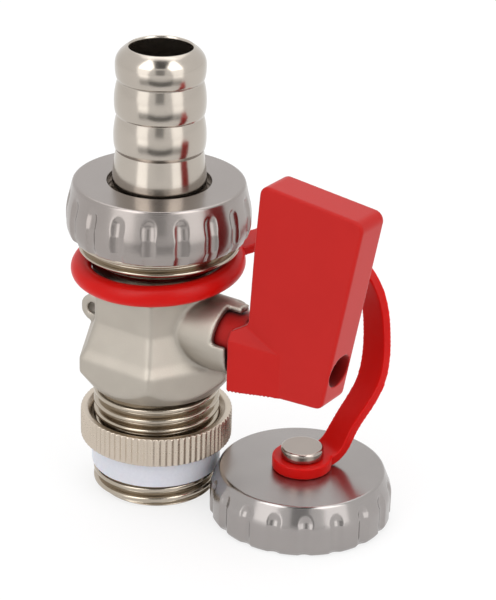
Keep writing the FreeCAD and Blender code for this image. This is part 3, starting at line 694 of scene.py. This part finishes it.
table_half = 3.0
table_drop = 0.05
table_glow = 0.7
square = ((-1, -1), (1, -1), (1, 1), (-1, 1))
table_mesh = bpy.data.meshes.new("table")
table_corners = [(x * table_half, y * table_half, -table_drop * MM) for x, y in square]
table_mesh.from_pydata(table_corners, [], [(0, 1, 2, 3)])
table = bpy.data.objects.new("table", table_mesh)
bpy.context.collection.objects.link(table)

# White laminate under studio light: shown white to the camera and in mirrors, with the object's shadow kept.
white_table, output = new_material("white_laminate")
rays = add_node(white_table, "ShaderNodeLightPath")
matt = add_node(white_table, "ShaderNodeBsdfDiffuse", {"Color": linear("#f4f4f4")})
lit = add_node(white_table, "ShaderNodeEmission", {"Color": linear("#ffffff"), "Strength": 1.0})
mixed = add_node(white_table, "ShaderNodeMixShader", {
    "Fac": table_glow, 1: matt.outputs["BSDF"], 2: lit.outputs["Emission"]})
mirrored = add_node(white_table, "ShaderNodeMath", {
    0: rays.outputs["Is Glossy Ray"], 1: rays.outputs["Is Transmission Ray"]}, operation="MAXIMUM")
seen = add_node(white_table, "ShaderNodeMath", {
    0: rays.outputs["Is Camera Ray"], 1: mirrored.outputs["Value"]}, operation="MAXIMUM")
shade = add_node(white_table, "ShaderNodeMixShader", {
    "Fac": seen.outputs["Value"], 1: matt.outputs["BSDF"], 2: mixed.outputs["Shader"]})
white_table.node_tree.links.new(shade.outputs["Shader"], output.inputs["Surface"])
table.data.materials.append(white_table)

world = bpy.data.worlds.new("studio")
bpy.context.scene.world = world
world.use_nodes = True
world.node_tree.nodes.clear()
sky = add_node(world, "ShaderNodeBackground", {"Color": linear("#ffffff"), "Strength": 1.0})
add_node(world, "ShaderNodeOutputWorld", {"Surface": sky.outputs["Background"]})

aim = Vector((12.284, 8.127, 40.0)) * MM


def hung(thing, azimuth, elevation, distance):
    """Hangs a stage object round the aim by azimuth from the camera's side, elevation and distance, facing
    the aim."""
    facing = math.atan2(camera_place.y - aim.y, camera_place.x - aim.x) + math.radians(azimuth)
    rise = math.radians(elevation)
    away = Vector((math.cos(facing) * math.cos(rise), math.sin(facing) * math.cos(rise), math.sin(rise)))
    turn = away.to_track_quat("Z", "Y").to_matrix().to_4x4()
    thing.matrix_world = Matrix.Translation(aim + away * distance) @ turn
    bpy.context.collection.objects.link(thing)


# Azimuth, elevation, distance, width, height and radiance of each lamp, in degrees and metres
softboxes = {
    "left_softbox": (-43.0, 34.0, 0.7, 0.4, 0.5, 1.5),
    "right_softbox": (45.0, 34.0, 0.7, 0.4, 0.5, 1.4),
    "top_softbox": (180.0, 70.0, 0.8, 0.6, 0.6, 1.0),
}
for box_name, (azimuth, elevation, distance, width, height, radiance) in softboxes.items():
    lamp = bpy.data.lights.new(box_name, "AREA")
    lamp.shape = "RECTANGLE"
    lamp.size = width
    lamp.size_y = height
    lamp.energy = radiance * math.pi * width * height
    hung(bpy.data.objects.new(box_name, lamp), azimuth, elevation, distance)


def mirror_card(name, corners, glow):
    """Stage card over four corners that only mirrors see, glowing evenly at the given level."""
    paper, end = new_material(name)
    even = add_node(paper, "ShaderNodeEmission", {"Color": linear("#ffffff"), "Strength": glow})
    paper.node_tree.links.new(even.outputs["Emission"], end.inputs["Surface"])
    sheet = bpy.data.meshes.new(name)
    sheet.from_pydata(corners, [], [(0, 1, 2, 3)])
    sheet.materials.append(paper)
    card = bpy.data.objects.new(name, sheet)
    card.visible_camera = False
    card.visible_diffuse = False
    card.visible_shadow = False
    return card


# Azimuth, elevation, distance, width, height and glow of each card that hangs
hung_cards = {
    "camera_card": (0.0, 65.0, 0.62, 0.3, 0.46, 0.03),
    "lens_card": (0.0, 18.0, 0.62, 0.24, 0.4, 0.35),
    "left_diffuser": (-43.0, 12.0, 0.66, 0.34, 0.5, 2.0),
    "right_diffuser": (45.0, 12.0, 0.66, 0.34, 0.5, 1.9),
    "left_crown": (-43.0, 54.0, 0.66, 0.34, 0.55, 3.8),
    "right_crown": (45.0, 54.0, 0.66, 0.34, 0.55, 3.6),
    "top_diffuser": (180.0, 64.0, 0.78, 0.8, 0.6, 1.9),
}
for card_name, (azimuth, elevation, distance, width, height, glow) in hung_cards.items():
    corners = [(x * width / 2, y * height / 2, 0) for x, y in square]
    hung(mirror_card(card_name, corners, glow), azimuth, elevation, distance)

# Azimuth, half spread, near and far reach and glow of each card that lies on the table
table_cards = {
    "camera_shade": (0.0, 30.0, 0.13, 0.21, 0.1),
    "left_shade": (-42.0, 12.0, 0.13, 0.2, 0.5),
    "right_shade": (42.0, 12.0, 0.13, 0.2, 0.5),
    "left_pool": (-42.0, 13.0, 0.24, 0.6, 2.2),
    "right_pool": (44.0, 13.0, 0.24, 0.6, 2.0),
}
front = math.atan2(camera_place.y, camera_place.x)
for card_name, (azimuth, spread, near, far, glow) in table_cards.items():
    right, left = (front + math.radians(azimuth + side * spread) for side in (-1, 1))
    edges = ((near, right), (far, right), (far, left), (near, left))
    corners = [(reach * math.cos(ray), reach * math.sin(ray), 0) for reach, ray in edges]
    bpy.context.collection.objects.link(mirror_card(card_name, corners, glow))
